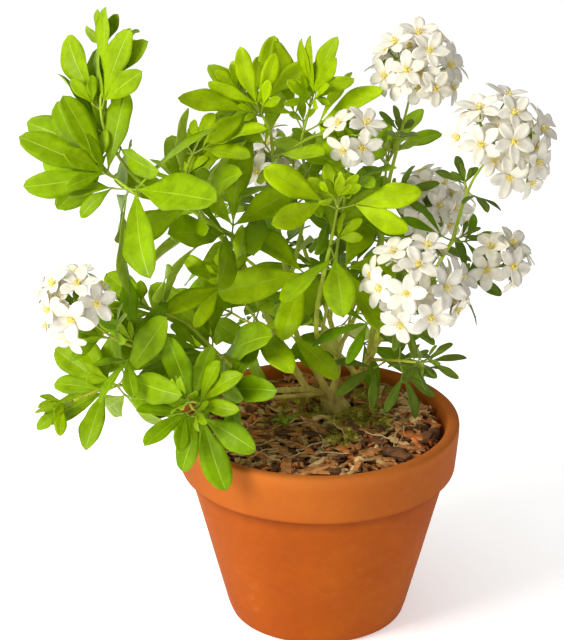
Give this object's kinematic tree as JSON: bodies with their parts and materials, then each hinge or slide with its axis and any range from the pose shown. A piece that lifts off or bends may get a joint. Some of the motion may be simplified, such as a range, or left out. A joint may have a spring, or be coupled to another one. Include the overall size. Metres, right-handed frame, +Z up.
{
  "type": "potted shrub",
  "caption": "Evergreen shrub with palmate leaves and domed heads of white five-petalled flowers, growing in a round terracotta pot of bark-covered soil.",
  "frame": {"origin": "on the pot's axis, at its flat underside", "axes": "+Z up; -Y is the side that the picture looks at; +X is that view's right"},
  "size_m": [0.3391, 0.2875, 0.4255],
  "materials": {
    "terracotta": "matte",
    "bark_mulch": "matte",
    "stem": "matte",
    "foliage": "satin",
    "blossom_spray": "matte"
  },
  "bodies": {
    "root": {"bough_back": "stem", "bough_back_left": "stem", "bough_back_right": "stem", "bough_centre": "stem", "bough_front_right": "stem", "bough_high_right": "stem", "bough_left": "stem", "bough_left_low": "stem", "bough_low_front": "stem", "bough_right": "stem", "bough_top_left": "stem", "bough_top_middle": "stem", "bough_top_right": "stem", "flowers_back": "blossom_spray", "flowers_back_right": "blossom_spray", "flowers_front_right": "blossom_spray", "flowers_inner_right": "blossom_spray", "flowers_left": "blossom_spray", "flowers_middle": "blossom_spray", "flowers_right": "blossom_spray", "flowers_top": "blossom_spray", "flowers_upper_right": "blossom_spray", "leaves_back_high": "foliage", "leaves_back_left": "foliage", "leaves_back_low": "foliage", "leaves_back_middle": "foliage", "leaves_back_right": "foliage", "leaves_back_side": "foliage", "leaves_centre": "foliage", "leaves_far_left": "foliage", "leaves_front_low": "foliage", "leaves_left": "foliage", "leaves_lower_left": "foliage", "leaves_middle_low": "foliage", "leaves_right_low": "foliage", "leaves_top_left": "foliage", "leaves_top_middle": "foliage", "leaves_top_right": "foliage", "leaves_upper_left": "foliage", "pot": "terracotta", "soil": "bark_mulch", "trunk": "stem"}
  },
  "joints": []
}
